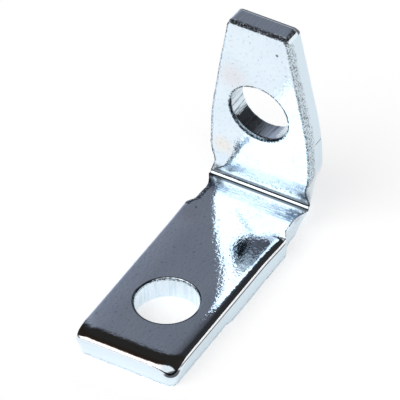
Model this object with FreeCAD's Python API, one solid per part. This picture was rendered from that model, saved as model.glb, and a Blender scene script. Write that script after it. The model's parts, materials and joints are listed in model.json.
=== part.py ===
"""Right-angle connector mounting bracket, blanked and folded from one strip of plated sheet steel.

Millimetres. +Z is up from the circuit board, +Y points out of the upright's outer face, and X runs
across the width. The origin is on the board hole's axis, at the underside of the board leg.
"""
import FreeCAD, Part

import math
import os

from FreeCAD import Vector

# Driving dimensions of the folded strip
THICKNESS = 1.3
WIDTH = 5.7
BOARD_REACH = 14.5             # free end of the board leg to the upright's outer face
RISE = 11.7                    # underside of the board leg to the upright's tip
CREASE_RADIUS = 0.25           # inside of the fold

# Holes, both pierced for the same screw
HOLE_DIAMETER = 3.2
BOARD_HOLE_SETBACK = 10.4      # its axis, from the upright's outer face
CONNECTOR_HOLE_HEIGHT = 6.3    # its axis, above the underside
HOLE_ROLL = 0.15               # rounded rim on the side where the punch entered
BREAKOUT_DEPTH = 0.35          # rough flare on the side where the punch came out
BREAKOUT_FLARE = 0.07

# Tapered head of the upright
TIP_WIDTH = 3.3
TIP_CORNER_RADIUS = 0.3
SHOULDER_HEIGHT = 5.3          # where the straight sides and the tapers would meet
SHOULDER_LAND = 0.25           # straight side left between the notched neck and the shoulder's arc
UPRIGHT_EDGE_ROLL = 0.24       # rounded edges of the outer face

# Upper edges of the board leg, drawn over by the blanking punch: wide, shallow, and deepest at
# the right free corner. Each roll is an elliptical quarter with a width in plan and a drop.
ROLL_TURN = 84.0               # how far round, in degrees, so that it leaves the flat at a faint edge
LEFT_SIDE_ROLL_WIDTH = 0.42
LEFT_SIDE_ROLL_DROP = 0.2
RIGHT_SIDE_ROLL_WIDTH = 0.65
RIGHT_SIDE_ROLL_DROP = 0.3
END_ROLL_WIDTH = 0.72
END_ROLL_DROP = 0.27
LEFT_CORNER_RADIUS = 0.3       # plan radius below the roll
LEFT_CORNER_ROLL_WIDTH = 0.8   # along the corner's diagonal
LEFT_CORNER_ROLL_DROP = 0.32
RIGHT_CORNER_RADIUS = 0.45
RIGHT_CORNER_ROLL_WIDTH = 1.0
RIGHT_CORNER_ROLL_DROP = 0.75
ROLL_STEPS = 8

# Relief notches beside the fold, and what the fold does to the metal between them
NOTCH_DEPTH = 0.28
BOARD_NOTCH_LENGTH = 2.45      # along the board leg, from the crease
BOARD_NOTCH_RAMP = 0.45        # its steep end
UPRIGHT_NOTCH_LENGTH = 2.2     # up the upright, from the crease
UPRIGHT_NOTCH_FLOOR = 0.85     # height of its deepest place above the crease
FOLD_BULGE = 0.23              # metal squeezed out sideways on the inside of the fold
FOLD_DRAW = 0.32               # metal drawn in on the outside of the fold
NOTCH_DRAW = 0.12              # the same on the outer faces beside the fold
NOTCH_LAND = 0.15              # square edge left between each notch and the rolled edges

# Room that cutters reach past the metal
MARGIN = 0.5

HALF_WIDTH = WIDTH / 2
OUTER_FACE = BOARD_HOLE_SETBACK
FREE_END = OUTER_FACE - BOARD_REACH
CREASE_Y = OUTER_FACE - THICKNESS
CREASE_Z = THICKNESS
OUTER_RADIUS = CREASE_RADIUS + THICKNESS
NECK_START = CREASE_Y - BOARD_NOTCH_LENGTH - NOTCH_LAND
NECK_TOP = CREASE_Z + UPRIGHT_NOTCH_LENGTH + NOTCH_LAND


def closed_face(edges):
    """A flat face inside a chain of edges."""
    return Part.Face(Part.Wire(edges))


def arc_round(centre, radius, from_angle, to_angle, u, v):
    """A circular arc about centre in the plane of the directions u and v, with angles in degrees."""
    spots = []
    for angle in (from_angle, (from_angle + to_angle) / 2, to_angle):
        turn = math.radians(angle)
        spots.append(centre + u * (radius * math.cos(turn)) + v * (radius * math.sin(turn)))
    return Part.Arc(*spots).toShape()


def roll_inset(depth, width, drop):
    """How far a rolled edge has drawn back at a depth below its face."""
    rise = max(0.0, 1 - depth / drop) * math.sin(math.radians(ROLL_TURN))
    return width * (1 - math.sqrt(1 - rise ** 2))


def leg_outline(depth):
    """Plan outline of the board leg, at a depth below its upper face."""
    left_inset = roll_inset(depth, LEFT_SIDE_ROLL_WIDTH, LEFT_SIDE_ROLL_DROP)
    right_inset = roll_inset(depth, RIGHT_SIDE_ROLL_WIDTH, RIGHT_SIDE_ROLL_DROP)
    end_inset = roll_inset(depth, END_ROLL_WIDTH, END_ROLL_DROP)

    def plan_radius(side_inset, radius, width, drop):
        # a rolled corner draws back further along its diagonal than its two edges do, so it opens out
        extra = roll_inset(depth, width, drop) - (side_inset + end_inset) / math.sqrt(2)
        return radius + extra / (math.sqrt(2) - 1)

    left_side = left_inset - HALF_WIDTH
    right_side = HALF_WIDTH - right_inset
    end = FREE_END + end_inset
    left = plan_radius(left_inset, LEFT_CORNER_RADIUS, LEFT_CORNER_ROLL_WIDTH, LEFT_CORNER_ROLL_DROP)
    right = plan_radius(right_inset, RIGHT_CORNER_RADIUS, RIGHT_CORNER_ROLL_WIDTH, RIGHT_CORNER_ROLL_DROP)
    z = CREASE_Z - depth
    x, y = Vector(1, 0, 0), Vector(0, 1, 0)
    rear_left, rear_right = Vector(left_side, NECK_START, z), Vector(right_side, NECK_START, z)
    side_left, side_right = Vector(left_side, end + left, z), Vector(right_side, end + right, z)
    end_left, end_right = Vector(left_side + left, end, z), Vector(right_side - right, end, z)
    return Part.Wire([
        Part.makeLine(rear_left, side_left),
        arc_round(end_left + y * left, left, 180, 270, x, y),
        Part.makeLine(end_left, end_right),
        arc_round(end_right + y * right, right, 270, 360, x, y),
        Part.makeLine(side_right, rear_right),
        Part.makeLine(rear_right, rear_left),
    ])


def board_leg():
    """Flat leg from its free end to the relief notches, with its upper edges rolled."""
    side_drops = [LEFT_SIDE_ROLL_DROP, RIGHT_SIDE_ROLL_DROP]
    deepest = max(side_drops + [LEFT_CORNER_ROLL_DROP, RIGHT_CORNER_ROLL_DROP, END_ROLL_DROP])
    plain = Part.Face(leg_outline(deepest)).extrude(Vector(0, 0, deepest - THICKNESS))
    turns = [math.pi / 2 * step / ROLL_STEPS for step in range(ROLL_STEPS + 1)]
    rolled = Part.makeLoft([leg_outline(deepest * (1 - math.sin(turn))) for turn in turns], True, False)
    return plain.fuse(rolled)


def neck():
    """The fold with the notched stretch of each leg beside it, still at full width."""
    y, z = Vector(0, 1, 0), Vector(0, 0, 1)
    x = -HALF_WIDTH
    centre = Vector(x, CREASE_Y - CREASE_RADIUS, CREASE_Z + CREASE_RADIUS)
    corners = [
        Vector(x, NECK_START, 0),
        Vector(x, centre.y, 0),
        Vector(x, OUTER_FACE, centre.z),
        Vector(x, OUTER_FACE, NECK_TOP),
        Vector(x, CREASE_Y, NECK_TOP),
        Vector(x, CREASE_Y, centre.z),
        Vector(x, centre.y, CREASE_Z),
        Vector(x, NECK_START, CREASE_Z),
    ]
    edges = [
        Part.makeLine(corners[0], corners[1]),
        arc_round(centre, OUTER_RADIUS, 270, 360, y, z),
        Part.makeLine(corners[2], corners[3]),
        Part.makeLine(corners[3], corners[4]),
        Part.makeLine(corners[4], corners[5]),
        arc_round(centre, CREASE_RADIUS, 360, 270, y, z),
        Part.makeLine(corners[6], corners[7]),
        Part.makeLine(corners[7], corners[0]),
    ]
    return closed_face(edges).extrude(Vector(WIDTH, 0, 0))


def head_outline():
    """Front outline of the upright above the notches: straight sides, shoulder arcs and tapers."""
    tip = TIP_WIDTH / 2
    taper = math.atan2(HALF_WIDTH - tip, RISE - SHOULDER_HEIGHT)
    centre_z = NECK_TOP + SHOULDER_LAND
    reach = SHOULDER_HEIGHT - centre_z
    shoulder_radius = reach / math.tan(taper / 2)
    centre_x = HALF_WIDTH - shoulder_radius
    y = OUTER_FACE
    along = Vector(-math.sin(taper), 0, math.cos(taper))
    x, z = Vector(1, 0, 0), Vector(0, 0, 1)
    foot = Vector(HALF_WIDTH, y, NECK_TOP)
    arc_start = Vector(HALF_WIDTH, y, centre_z)
    arc_end = Vector(HALF_WIDTH, y, SHOULDER_HEIGHT) + along * reach
    top = Vector(tip, y, RISE)
    right = [
        Part.makeLine(foot, arc_start),
        arc_round(Vector(centre_x, y, centre_z), shoulder_radius, 0, math.degrees(taper), x, z),
        Part.makeLine(arc_end, top),
    ]
    left = [edge.mirror(Vector(), x) for edge in reversed(right)]
    crown = Part.makeLine(top, Vector(-tip, y, RISE))
    base = Part.makeLine(Vector(-HALF_WIDTH, y, NECK_TOP), foot)
    return Part.Wire(Part.__sortEdges__(right + [crown] + left + [base]))


def lies_at(edge, y=None, z=None):
    """Whether a whole edge lies at the given places."""
    box = edge.BoundBox
    flat = 1e-4
    fits_y = y is None or max(abs(box.YMin - y), abs(box.YMax - y)) < flat
    fits_z = z is None or max(abs(box.ZMin - z), abs(box.ZMax - z)) < flat
    return fits_y and fits_z


def upright_head():
    """Tapered head of the upright, with rounded tip corners and a rolled edge on its outer face."""
    head = Part.Face(head_outline()).extrude(Vector(0, -THICKNESS, 0))
    crown = [e for e in head.Edges if lies_at(e, z=RISE)]
    head = head.makeFillet(TIP_CORNER_RADIUS, [e for e in crown if e.BoundBox.YLength > THICKNESS / 2])
    rim = [e for e in head.Edges if lies_at(e, y=OUTER_FACE) and not lies_at(e, z=NECK_TOP)]
    return head.makeFillet(UPRIGHT_EDGE_ROLL, rim)


def rail(stations, depth, parameters):
    """A smooth curve along the strip's right side, at a depth below its inner face.

    Each station is a distance from the crease, negative on the board leg, and a half width there.
    Stations at distance zero lie in the fold, spread evenly over its quarter turn.
    """
    centre_y, centre_z = CREASE_Y - CREASE_RADIUS, CREASE_Z + CREASE_RADIUS
    radius = CREASE_RADIUS + depth
    in_fold = [i for i, (distance, _) in enumerate(stations) if distance == 0]
    spots = []
    for i, (distance, half_width) in enumerate(stations):
        if distance < 0:
            spots.append(Vector(half_width, CREASE_Y + distance, CREASE_Z - depth))
        elif distance > 0:
            spots.append(Vector(half_width, CREASE_Y + depth, CREASE_Z + distance))
        else:
            turn = math.pi / 2 * (i - in_fold[0]) / (len(in_fold) - 1)
            y = centre_y + radius * math.sin(turn)
            z = centre_z - radius * math.cos(turn)
            spots.append(Vector(half_width, y, z))
    curve = Part.BSplineCurve()
    curve.interpolate(Points=spots, Parameters=parameters)
    return curve.toShape()


def notch_cutter():
    """Everything outside the notch's floor on the right side, from the board leg round to the upright."""
    floor = HALF_WIDTH - NOTCH_DEPTH
    clear = HALF_WIDTH + NOTCH_DEPTH
    ramp_foot = BOARD_NOTCH_LENGTH - BOARD_NOTCH_RAMP
    rise_middle = (UPRIGHT_NOTCH_FLOOR + UPRIGHT_NOTCH_LENGTH) / 2
    # distance from the crease, half width on the inner face, half width on the outer face
    stations = [
        (-BOARD_NOTCH_LENGTH - BOARD_NOTCH_RAMP, clear, clear),
        (-BOARD_NOTCH_LENGTH, HALF_WIDTH, HALF_WIDTH),
        (-ramp_foot, floor + NOTCH_DEPTH / 8, floor + NOTCH_DEPTH / 8),
        (-ramp_foot * 0.75, floor, floor - NOTCH_DRAW / 2),
        (-ramp_foot * 0.4, floor, floor - NOTCH_DRAW),
        (0, floor + FOLD_BULGE, floor - FOLD_DRAW * 0.8),
        (0, floor + FOLD_BULGE, floor - FOLD_DRAW),
        (0, floor + FOLD_BULGE, floor - FOLD_DRAW * 0.8),
        (UPRIGHT_NOTCH_FLOOR, floor + NOTCH_DEPTH / 6, floor - NOTCH_DRAW),
        (rise_middle, HALF_WIDTH - NOTCH_DEPTH / 4, HALF_WIDTH - NOTCH_DEPTH / 2),
        (UPRIGHT_NOTCH_LENGTH, HALF_WIDTH, HALF_WIDTH),
        (UPRIGHT_NOTCH_LENGTH + NOTCH_DEPTH, clear, clear),
    ]
    parameters = [float(i) for i in range(len(stations))]
    skin = CREASE_RADIUS / 2

    def half_width_at(inner, outer, depth):
        return inner + (outer - inner) * depth / THICKNESS

    rails = []
    for depth in (-skin, THICKNESS + MARGIN):
        line = [(distance, half_width_at(inner, outer, depth)) for distance, inner, outer in stations]
        rails.append(rail(line, depth, parameters))
    return Part.makeRuledSurface(*rails).extrude(Vector(HALF_WIDTH, 0, 0))


def punched_hole(thickness):
    """Cutter for a pierced hole along +Z: flared where the punch came out at 0, rolled where it entered."""
    radius = HOLE_DIAMETER / 2
    x, z = Vector(1, 0, 0), Vector(0, 0, 1)
    low, high = -MARGIN, thickness + MARGIN
    flared = radius + BREAKOUT_FLARE
    rolled = radius + HOLE_ROLL
    roll_foot = thickness - HOLE_ROLL
    profile = [
        Part.makeLine(Vector(0, 0, low), Vector(flared, 0, low)),
        Part.makeLine(Vector(flared, 0, low), Vector(flared, 0, 0)),
        Part.makeLine(Vector(flared, 0, 0), Vector(radius, 0, BREAKOUT_DEPTH)),
        Part.makeLine(Vector(radius, 0, BREAKOUT_DEPTH), Vector(radius, 0, roll_foot)),
        arc_round(Vector(rolled, 0, roll_foot), HOLE_ROLL, 180, 90, x, z),
        Part.makeLine(Vector(rolled, 0, thickness), Vector(rolled, 0, high)),
        Part.makeLine(Vector(rolled, 0, high), Vector(0, 0, high)),
        Part.makeLine(Vector(0, 0, high), Vector(0, 0, low)),
    ]
    return closed_face(profile).revolve(Vector(), z, 360)


def connector_hole():
    """The upright's hole, pierced from its outer face towards the front."""
    hole = punched_hole(THICKNESS)
    hole.rotate(Vector(), Vector(1, 0, 0), -90)
    hole.translate(Vector(0, CREASE_Y, CONNECTOR_HOLE_HEIGHT))
    return hole


def bracket():
    """The whole bracket as one solid."""
    body = board_leg().fuse([neck(), upright_head()])
    cutter = notch_cutter()
    mirrored = cutter.mirror(Vector(), Vector(1, 0, 0))
    body = body.cut([cutter, mirrored, punched_hole(THICKNESS), connector_hole()])
    return body.removeSplitter()


def main():
    os.makedirs("parts", exist_ok=True)
    shape = bracket()
    print("solids", len(shape.Solids), "valid", shape.isValid(), "volume", round(shape.Volume, 2))
    box = shape.BoundBox
    print("box", [round(v, 3) for v in (box.XMin, box.YMin, box.ZMin, box.XMax, box.YMax, box.ZMax)])
    shape.Solids[0].exportStep("parts/bracket.step")


main()
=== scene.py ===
"""Dressed zinc-plated connector bracket: one dense skin of folded sheet metal, in a light tent.

The skin is laid out on the flat strip and then folded. Strip coordinates are millimetres: t runs along the
strip from the start of the fold (negative on the board leg), x across, and n is the depth below the inner
face, which is the board leg's top and the upright's front. The fold takes up the first BEND millimetres.
"""

import json
import math
from collections import namedtuple

import bpy
import numpy as np

from mathutils import Matrix, Vector
from mathutils.geometry import delaunay_2d_cdt
from mathutils.kdtree import KDTree
from mathutils.noise import noise


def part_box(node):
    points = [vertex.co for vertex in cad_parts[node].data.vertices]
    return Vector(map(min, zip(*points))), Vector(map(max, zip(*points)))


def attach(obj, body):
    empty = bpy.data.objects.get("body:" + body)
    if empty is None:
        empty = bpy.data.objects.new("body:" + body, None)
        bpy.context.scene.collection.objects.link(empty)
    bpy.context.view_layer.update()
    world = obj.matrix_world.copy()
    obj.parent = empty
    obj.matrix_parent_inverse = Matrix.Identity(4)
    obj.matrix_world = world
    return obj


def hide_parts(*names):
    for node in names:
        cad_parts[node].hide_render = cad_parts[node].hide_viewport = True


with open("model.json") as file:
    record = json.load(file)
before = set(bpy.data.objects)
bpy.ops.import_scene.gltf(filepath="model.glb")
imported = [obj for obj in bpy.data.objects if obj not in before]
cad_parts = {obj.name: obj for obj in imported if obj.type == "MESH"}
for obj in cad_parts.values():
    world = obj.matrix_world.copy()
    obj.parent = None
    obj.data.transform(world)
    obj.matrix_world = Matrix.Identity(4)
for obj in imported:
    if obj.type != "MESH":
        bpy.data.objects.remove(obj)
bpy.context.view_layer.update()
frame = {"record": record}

# Sizes that the frame gives, in millimetres
MM = 1000.0
MOUNTS = {mount["name"]: mount for mount in frame["record"]["mounts"]}
BOX_LOW, BOX_HIGH = [[value * MM for value in corner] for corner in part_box("bracket")]
FREE_END = BOX_LOW[1]
OUTER_FACE = BOX_HIGH[1]
RISE = BOX_HIGH[2]
HALF_WIDTH = round(BOX_HIGH[0], 2)
HOLE_RADIUS = MOUNTS["board_hole"]["dims"]["r_mm"]
CONNECTOR_HOLE_HEIGHT = MOUNTS["connector_hole"]["pos_m"][2] * MM

# Sheet and fold
THICKNESS = 1.3
CREASE_RADIUS = 0.25
BEND = 2.0
CREASE_Y = OUTER_FACE - THICKNESS
FOLD_Y = CREASE_Y - CREASE_RADIUS
FOLD_Z = THICKNESS + CREASE_RADIUS
END_T = FREE_END - FOLD_Y
TIP_T = RISE - FOLD_Z + BEND

# Rolled upper edges of the board leg: an elliptical roll, then a steeper lip down to its foot's depth
Roll = namedtuple("Roll", "width drop lip foot")
Corner = namedtuple("Corner", "radius roll")    # plan radius, and the roll along the diagonal
LEFT_ROLL = Roll(0.13, 0.09, 0.02, 0.16)
RIGHT_ROLL = Roll(0.55, 0.17, 0.10, 0.24)
END_ROLL = Roll(0.95, 0.24, 0.03, 0.27)
LEFT_CORNER = Corner(0.3, Roll(1.0, 0.3, 0.08, 0.5))
RIGHT_CORNER = Corner(0.45, Roll(1.0, 0.68, 0.06, 0.8))
LEFT_CORNER_FLARE = 0.45            # growth of its plan radius towards the underside
FLARE_START = 0.3
LEFT_NECK_ROLL = (0.25, 0.1)        # the left notch's edge is drawn over too
NECK_ROLL_REACH = 0.9               # and so is the side next to it
DISH_REACH = 1.5                    # the top sinks gently towards its edges over this distance
DISH_DROP = 0.05
ROLL_FADE = 0.15                    # length over which the side rolls fade out before the notches
RIGHT_SET_BACK = 0.1                # the right side leans in towards the free end
SET_BACK_FADE = (0.2, -2.0)         # from the notch's end
FOOT_DEPTHS = (0.3, 1.0)            # its foot stands straight again
FOOT_START = (END_T + 5.0, END_T + 5.6)
EDGE_RADIUS = 0.03                  # of every edge that isn't rolled
TEAR_DEPTH = 0.24                   # torn band of the walls, where the punch broke through
HEAD_TEAR_DEPTH = 0.6               # on the upright's sides
TEAR_INSET = 0.035
TEAR_NOISES = ((1.7, 3.7), (6.0, 8.1), (17.0, 5.3))     # coarse, fine and gritty: scale and seed
TEAR_RAGGED = (0.2, 0.15)           # the band's waviness by the first two, as shares of its depth
TEAR_ROUGH = (0.012, 0.018, 0.014)  # its roughness by all three
UNTORN_FOLD = (1.4, 2.2)            # no tears up to these distances from the fold's middle

# Upright: tapered head, rolled on its outer face
TIP_HALF_WIDTH = 1.65
TIP_CORNER_RADII = (0.2, 0.36)      # at the front and at the back
SHOULDER_HEIGHT = 5.3
SHOULDER_START = 3.9
HEAD_START = BEND + 1.0             # where its torn bands begin
HEAD_WEAR = 0.06                    # hollow of its left side
WEAR_RISE = (2.8, 5.0)
WEAR_FALL = (9.5, 6.5)
SIDE_BACK_ROLL = 0.08
TIP_BACK_ROLL = 0.28

# Holes
HOLE_ROLL = 0.10
BREAKOUT_DEPTH = 0.25
BREAKOUT_FLARE = 0.03

# Relief notches and the drawn fold between them
NOTCH_DEPTH = 0.28
BOARD_NOTCH_LENGTH = 2.45
BOARD_NOTCH_RAMP = 0.45
UPRIGHT_NOTCH_LENGTH = 2.2
UPRIGHT_NOTCH_FLOOR = 0.85
FOLD_BULGE = 0.23
FOLD_DRAW = 0.32
NOTCH_DRAW = 0.12

# Relief of the surface
BURR_HEIGHT = 0.03                  # jagged lip round the upright's front
BURR_REACH = 0.07
BURR_NOISES = ((4.0, 2.9), (13.0, 6.6))                 # coarse and fine: scale and seed
BURR_SHARES = (0.35, 0.9, 0.7)      # of its height: always there, by coarse noise and by fine
WAVE_HEIGHT = 0.003                 # the faces aren't quite flat
WAVES_PER_MM = 0.7
WAVE_SEED = 1.3
PEEL_HEIGHT = 0.003                 # orange peel of the plate
PEEL_PER_MM = 2.5
GRAIN_HEIGHT = 0.006
GRAINS_PER_MM = 6.5
DRAW_LINE_HEIGHT = 0.010
PIT_HEIGHT = 0.050
STRIATION_HEIGHT = 0.006
FACE_ROUGHNESS = (0.015, 0.03)
WALL_ROUGHNESS = 0.10               # added on the sheared walls
TEAR_ROUGHNESS = 0.12               # and in their torn bands

# Tones of the metal
FACE = (0.80, 0.90, 0.975, 1)
FACE_BLUE = (0.755, 0.865, 0.955, 1)
WALL = (0.665, 0.775, 0.85, 1)
END_WALL = (0.775, 0.885, 0.965, 1)
# bright burnished draw lines in the holes, and painted highlights under the board leg's rolls
BURNISH_AND_HIGHLIGHT = (0.98, 0.985, 0.99, 1)
# dark pits and marks, and painted shade and dark reflections along rims, the crease, the right roll's foot
# and the corner
PITS_AND_PAINTED_SHADE = (0.06, 0.065, 0.075, 1)
# drawn lines beside the fold, with painted shade and painted reflections on the board leg and the upright
STRIATIONS_AND_PAINTED_REFLECTION = (0.075, 0.125, 0.20, 1)
# painted reflection of the connector hole on the board leg
REFLECTED_HOLE_TONE = (0.16, 0.20, 0.27, 1)
# painted dark reflection along the tip's back edge
TIP_EDGE_REFLECTION_TONE = (0.10, 0.105, 0.14, 1)
MOTTLE = (0.50, 0.57, 0.66, 1)
BLUSH = (0.775, 0.79, 0.84, 1)
STRAW = (0.845, 0.83, 0.80, 1)
RUSSET = (0.75, 0.52, 0.38, 1)

# Places on the strip, as t, x and n
BOARD_HOLE_T = -FOLD_Y
CONNECTOR_HOLE_T = CONNECTOR_HOLE_HEIGHT - FOLD_Z + BEND
PINK_BLUSH = (8.6, -1.4, 0.0)
STRAW_BLUSH = (3.85, -2.1, 0.0)
NOTCH_BLUSH = (-3.0, -2.1, 0.0)
MARKS = (
    ((-2.37, -2.15, 0.0), 0.07),
    ((-2.64, -0.68, 0.0), 0.06),
    ((11.02, 1.12, 0.0), 0.11),
)
CREASE_BLOTS = (
    ((2.12, -2.42, 0.0), 0.45),
    ((2.3, 2.45, 0.0), 0.6),
    ((-0.35, -2.05, 0.0), 0.42),
    ((-0.5, 2.3, 0.0), 0.6),
)
# Painted reflection of the connector hole on the board leg: its body, heart and tail
REFLECTED_HOLE_BODY = (-3.75, 2.0, 0.0)
REFLECTED_HOLE_HEART = (-3.95, 1.35, 0.0)
REFLECTED_HOLE_TAIL = (-2.6, 2.3, 0.0)
REFLECTED_HOLE_BODY_REACH = 1.5
REFLECTED_HOLE_HEART_REACH = 0.7
REFLECTED_HOLE_TAIL_REACH = 0.8
# Painted dark reflection at the board leg's right free corner, below its highlight
CORNER_SPOT_STRETCH = 2.5           # depths count so many times, which flattens the spot
CORNER_SPOT = (END_T + 0.32, HALF_WIDTH - 0.35, 0.52 * CORNER_SPOT_STRETCH)
# Painted reflection of the board leg's left edge, running up the upright
STREAK = ((3.45, -1.5), (4.95, -0.5))          # its ends, as t and x
NICK_T = 5.42                       # across the upright's right side
NICK_HALF_WIDTH = 0.02
NICK_START = (0.6, 0.75)            # the depths at which it begins
# Painted shade in the crease: its two dark lines
CREASE_LINES = ((0.0, 0.72, 0.12, 0.85), (1.50, 1.80, 0.14, 0.75))      # ends in t, softness, strength
UPPER_LINE = (2.26, 2.36)
STRIATED_WIDTH = 0.75               # of the band on the board leg, along t
STRIATED_GROWTH = 0.25              # and how much wider it gets towards the right
SIDE_START = 2.2                    # x beyond which a point is on one of the sides
CORNER_END = (END_T + 0.5, END_T + 0.9)

# Bands on the walls, counted from the foot of the roll above them: painted highlights, a russet band and a
# broken line of painted shade
RIGHT_BAND = (-0.09, 0.02)
END_BAND = (-0.12, 0.0)
RUSSET_BAND = (-0.19, -0.14)
BROKEN_LINE = (0.07, 0.14)

# Dark lines along the edges, by the distance below them on the wall, or beside them on the face if negative
CONNECTOR_RIM = (-0.06, 0.07)
# painted shade along the board hole's front rim
BOARD_RIM = (-0.02, 0.04)
NOTCH_RIM = (-0.04, 0.06)
# painted shade of the burr along the upright's front edges
UPRIGHT_RIM = (-0.03, 0.03)
RIM_SOFTNESS = 0.02
NOTCH_LINE = (-2.3, 3.4)            # the stretch along t that has them
CONNECTOR_HOLE_MARGIN = 0.3         # paint for a hole reaches so far beyond its wall
BOARD_HOLE_MARGIN = 0.25

# Tones of the studio
DARK = (0.04, 0.04, 0.042, 1)
BLACK = (0.024, 0.021, 0.019, 1)
BACKDROP = (                        # by how far to the right
    (-0.75, (0.42, 0.43, 0.52, 1)),
    (-0.4, (0.19, 0.195, 0.23, 1)),
    (-0.13, (0.12, 0.12, 0.14, 1)),
    (0.12, (0.03, 0.03, 0.032, 1)),
)
WHITE = (0.95, 0.95, 0.95, 1)
SOFTBOX = (-0.386, -0.629, 0.674)   # direction of its middle
SOFTBOX_GLOW = (1.75, 1.75, 1.75, 1)

# Borders between them, as cosines of the angle from the direction that each is measured by
SKIRTING_TOP = (0.41, 0.35)
OVERHEAD_START = (-0.24, -0.14)
BACKDROP_START = (0.46, 0.56)
BACKDROP_END = (0.72, 0.80)
SOFTBOX_BORDER = (0.900, 0.918)

# Floor and camera, in metres but for the lens
FLOOR_SIZE = 2.0
FLOOR_GLOW = 0.62
CAMERA_PLACE = (0.131225, -0.21052, 0.234308)
CAMERA_RIGHT = (0.86315, 0.50439, -0.0235)
CAMERA_UP = (-0.32529, 0.59105, 0.73813)
CAMERA_BACK = (0.3862, -0.62948, 0.67425)
LENS = 630.0

# Mesh density
SPACING = 0.085
ROLL_LEVELS = 12
WALL_LEVELS = 9
TEAR_LEVELS = 7
EDGE_LEVELS = 3
SHARP_ANGLE = 35                    # in degrees, beyond which an edge isn't shaded smooth
SNAP = 1e-7                         # points closer than this are one


def smooth(value, start, end):
    """Eases from 0 at start to 1 at end."""
    share = np.clip((value - start) / (end - start), 0.0, 1.0)
    return share * share * (3 - 2 * share)


def along(distance):
    """Strip coordinate of a distance from the crease, negative on the board leg."""
    distance = np.asarray(distance, dtype=float)
    return np.where(distance < 0, distance + CREASE_RADIUS, distance - CREASE_RADIUS + BEND)


HEAD_TAPER = math.atan2(HALF_WIDTH - TIP_HALF_WIDTH, TIP_T - along(SHOULDER_HEIGHT - THICKNESS))


def place(t, x, n):
    """Folds strip coordinates into the row frame, in millimetres."""
    turn = np.clip(t / BEND, 0, 1) * math.pi / 2
    radius = CREASE_RADIUS + n
    y = FOLD_Y + np.minimum(t, 0) + radius * np.sin(turn)
    z = FOLD_Z + np.maximum(t - BEND, 0) - radius * np.cos(turn)
    return np.stack([x + 0 * t, y, z], axis=-1)


def quarter_inset(n, width, drop):
    """How far an elliptical rolled edge has drawn back at a depth below its face."""
    rise = np.clip(1 - n / drop, 0, 1)
    return width * (1 - np.sqrt(1 - rise ** 2))


def back_inset(n, roll=SIDE_BACK_ROLL):
    """How far the rolled edge of the upright's outer face has drawn back."""
    return quarter_inset(THICKNESS - n, roll, roll)


def lipped_inset(n, roll):
    """The same for a roll that ends in a steeper lip."""
    return quarter_inset(n, roll.width, roll.drop) + roll.lip * np.clip(1 - n / roll.foot, 0, 1)


def side_roll(side):
    """Shape of the roll on a side of the board leg."""
    return RIGHT_ROLL if side > 0 else LEFT_ROLL


def set_back(t, n, side):
    """How far the right side stands back, less so at its foot past the free end's stretch."""
    foot = smooth(n, *FOOT_DEPTHS) * smooth(t, *FOOT_START)
    notch = along(-BOARD_NOTCH_LENGTH)
    fade = smooth(t, notch + SET_BACK_FADE[0], notch + SET_BACK_FADE[1])
    return (side > 0) * RIGHT_SET_BACK * (1 - foot) * fade


def side_inset(n, side):
    """How far a side of the board leg has drawn back near its free end."""
    return lipped_inset(n, side_roll(side)) + set_back(END_T, n, side)


def plan_radius(n, side, corner):
    """Plan radius of a free corner, which opens out as the corner's roll draws back along its diagonal."""
    radius = corner.radius + (side < 0) * LEFT_CORNER_FLARE * smooth(n, FLARE_START, THICKNESS)
    extra = lipped_inset(n, corner.roll)
    edges = lipped_inset(n, side_roll(side)) + lipped_inset(n, END_ROLL)
    extra = extra - edges / math.sqrt(2)
    return radius + extra / (math.sqrt(2) - 1)


def through(stations, t):
    """A smooth curve through stations of strip coordinate and value, level at its ends."""
    knots = np.array([station[0] for station in stations])
    values = np.array([station[1] for station in stations])
    slopes = np.gradient(values, knots)
    slopes[0] = slopes[-1] = 0
    i = np.clip(np.searchsorted(knots, t) - 1, 0, len(knots) - 2)
    step = knots[i + 1] - knots[i]
    s = np.clip((t - knots[i]) / step, 0, 1)
    lead = values[i] * (1 + 2 * s) * (1 - s) ** 2 + values[i + 1] * s ** 2 * (3 - 2 * s)
    bend = slopes[i] * s * (1 - s) ** 2 - slopes[i + 1] * s ** 2 * (1 - s)
    return lead + bend * step


def neck_half_width(t, n):
    """Half width of the notched stretch, squeezed out inside the fold and drawn in outside it."""
    floor = HALF_WIDTH - NOTCH_DEPTH
    ramp_foot = BOARD_NOTCH_LENGTH - BOARD_NOTCH_RAMP
    rise_middle = (UPRIGHT_NOTCH_FLOOR + UPRIGHT_NOTCH_LENGTH) / 2
    spots = [
        (along(-BOARD_NOTCH_LENGTH), HALF_WIDTH, HALF_WIDTH),
        (along(-ramp_foot), floor + NOTCH_DEPTH / 8, floor + NOTCH_DEPTH / 8),
        (along(-ramp_foot * 0.75), floor, floor - NOTCH_DRAW / 2),
        (along(-ramp_foot * 0.4), floor, floor - NOTCH_DRAW),
        (0.0, floor + FOLD_BULGE, floor - FOLD_DRAW * 0.8),
        (BEND / 2, floor + FOLD_BULGE, floor - FOLD_DRAW),
        (BEND, floor + FOLD_BULGE, floor - FOLD_DRAW * 0.8),
        (along(UPRIGHT_NOTCH_FLOOR), floor + NOTCH_DEPTH / 6, floor - NOTCH_DRAW),
        (along(rise_middle), HALF_WIDTH - NOTCH_DEPTH / 4, HALF_WIDTH - NOTCH_DEPTH / 2),
        (along(UPRIGHT_NOTCH_LENGTH), HALF_WIDTH, HALF_WIDTH),
    ]
    inner = through([(spot[0], spot[1]) for spot in spots], t)
    outer = through([(spot[0], spot[2]) for spot in spots], t)
    return inner + (outer - inner) * n / THICKNESS


def even(length, spacing=SPACING):
    """Shares of a stretch from 0 up to, but not including, 1."""
    count = max(2, round(length / spacing))
    return np.arange(count) / count


class Stretch:
    """A run of outline stations: the drops of their rolls, and their strip coordinates at a given depth."""

    def __init__(self, drop, spot, back=None):
        self.drop = drop
        self.spot = spot
        self.back = np.full(len(drop), SIDE_BACK_ROLL) if back is None else back


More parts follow.
